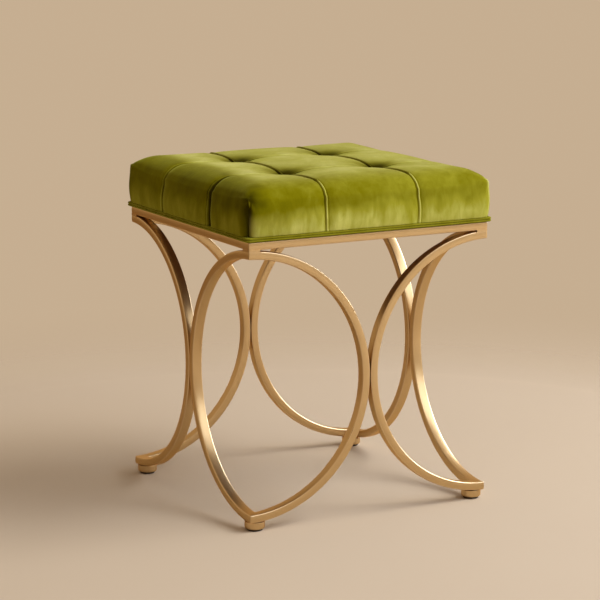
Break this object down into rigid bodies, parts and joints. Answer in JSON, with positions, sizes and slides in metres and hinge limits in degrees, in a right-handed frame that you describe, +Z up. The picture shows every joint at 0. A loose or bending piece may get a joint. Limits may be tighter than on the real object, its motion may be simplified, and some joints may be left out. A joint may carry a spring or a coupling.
{
  "type": "x frame stool",
  "caption": "Square stool on back-to-back half-circle bars under a rail frame, with a biscuit-tufted velvet cushion, piped edge and screw-in floor glides.",
  "frame": {"origin": "on the floor under the middle of the seat", "axes": "+Z up, +Y towards the back; X and Y run along the rails, and the stool is alike on all four sides"},
  "size_m": [0.402, 0.402, 0.4959],
  "materials": {
    "brass_tube": "brushed satin brass",
    "steel": "zinc plated",
    "nylon": "dark moulded nylon",
    "plywood": "raw plywood",
    "foam": "open-cell seat foam",
    "velvet": "moss green cut velvet",
    "lining": "black non-woven lining cloth",
    "twine": "waxed tufting twine"
  },
  "bodies": {
    "stool": {"rail_front": "brass_tube", "rail_right": "brass_tube", "rail_back": "brass_tube", "rail_left": "brass_tube", "bar_front_left": "brass_tube", "bar_front_right": "brass_tube", "bar_right_front": "brass_tube", "bar_right_back": "brass_tube", "bar_back_right": "brass_tube", "bar_back_left": "brass_tube", "bar_left_back": "brass_tube", "bar_left_front": "brass_tube", "foot_boss_front_left": "brass_tube", "foot_boss_front_right": "brass_tube", "foot_boss_back_right": "brass_tube", "foot_boss_back_left": "brass_tube", "seat_tab_front_left": "steel", "seat_tab_front_right": "steel", "seat_tab_back_right": "steel", "seat_tab_back_left": "steel", "seat_screw_front_left": "steel", "seat_screw_front_right": "steel", "seat_screw_back_right": "steel", "seat_screw_back_left": "steel", "tuft_tie_front_left": "twine", "tuft_tie_front_right": "twine", "tuft_tie_back_right": "twine", "tuft_tie_back_left": "twine", "seat_board": "plywood", "seat_lining": "lining", "foam_core": "foam", "seat_cover": "velvet", "seat_piping": "velvet"},
    "glide_front_left": {"glide_pad_front_left": "nylon", "glide_stem_front_left": "steel"},
    "glide_front_right": {"glide_pad_front_right": "nylon", "glide_stem_front_right": "steel"},
    "glide_back_right": {"glide_pad_back_right": "nylon", "glide_stem_back_right": "steel"},
    "glide_back_left": {"glide_pad_back_left": "nylon", "glide_stem_back_left": "steel"}
  },
  "joints": [
    {"name": "level_front_left", "type": "slide", "parent": "stool", "child": "glide_front_left", "axis": [0, 0, 1], "range_m": [-0.004, 0]},
    {"name": "level_front_right", "type": "slide", "parent": "stool", "child": "glide_front_right", "axis": [0, 0, 1], "range_m": [-0.004, 0]},
    {"name": "level_back_right", "type": "slide", "parent": "stool", "child": "glide_back_right", "axis": [0, 0, 1], "range_m": [-0.004, 0]},
    {"name": "level_back_left", "type": "slide", "parent": "stool", "child": "glide_back_left", "axis": [0, 0, 1], "range_m": [-0.004, 0]}
  ]
}
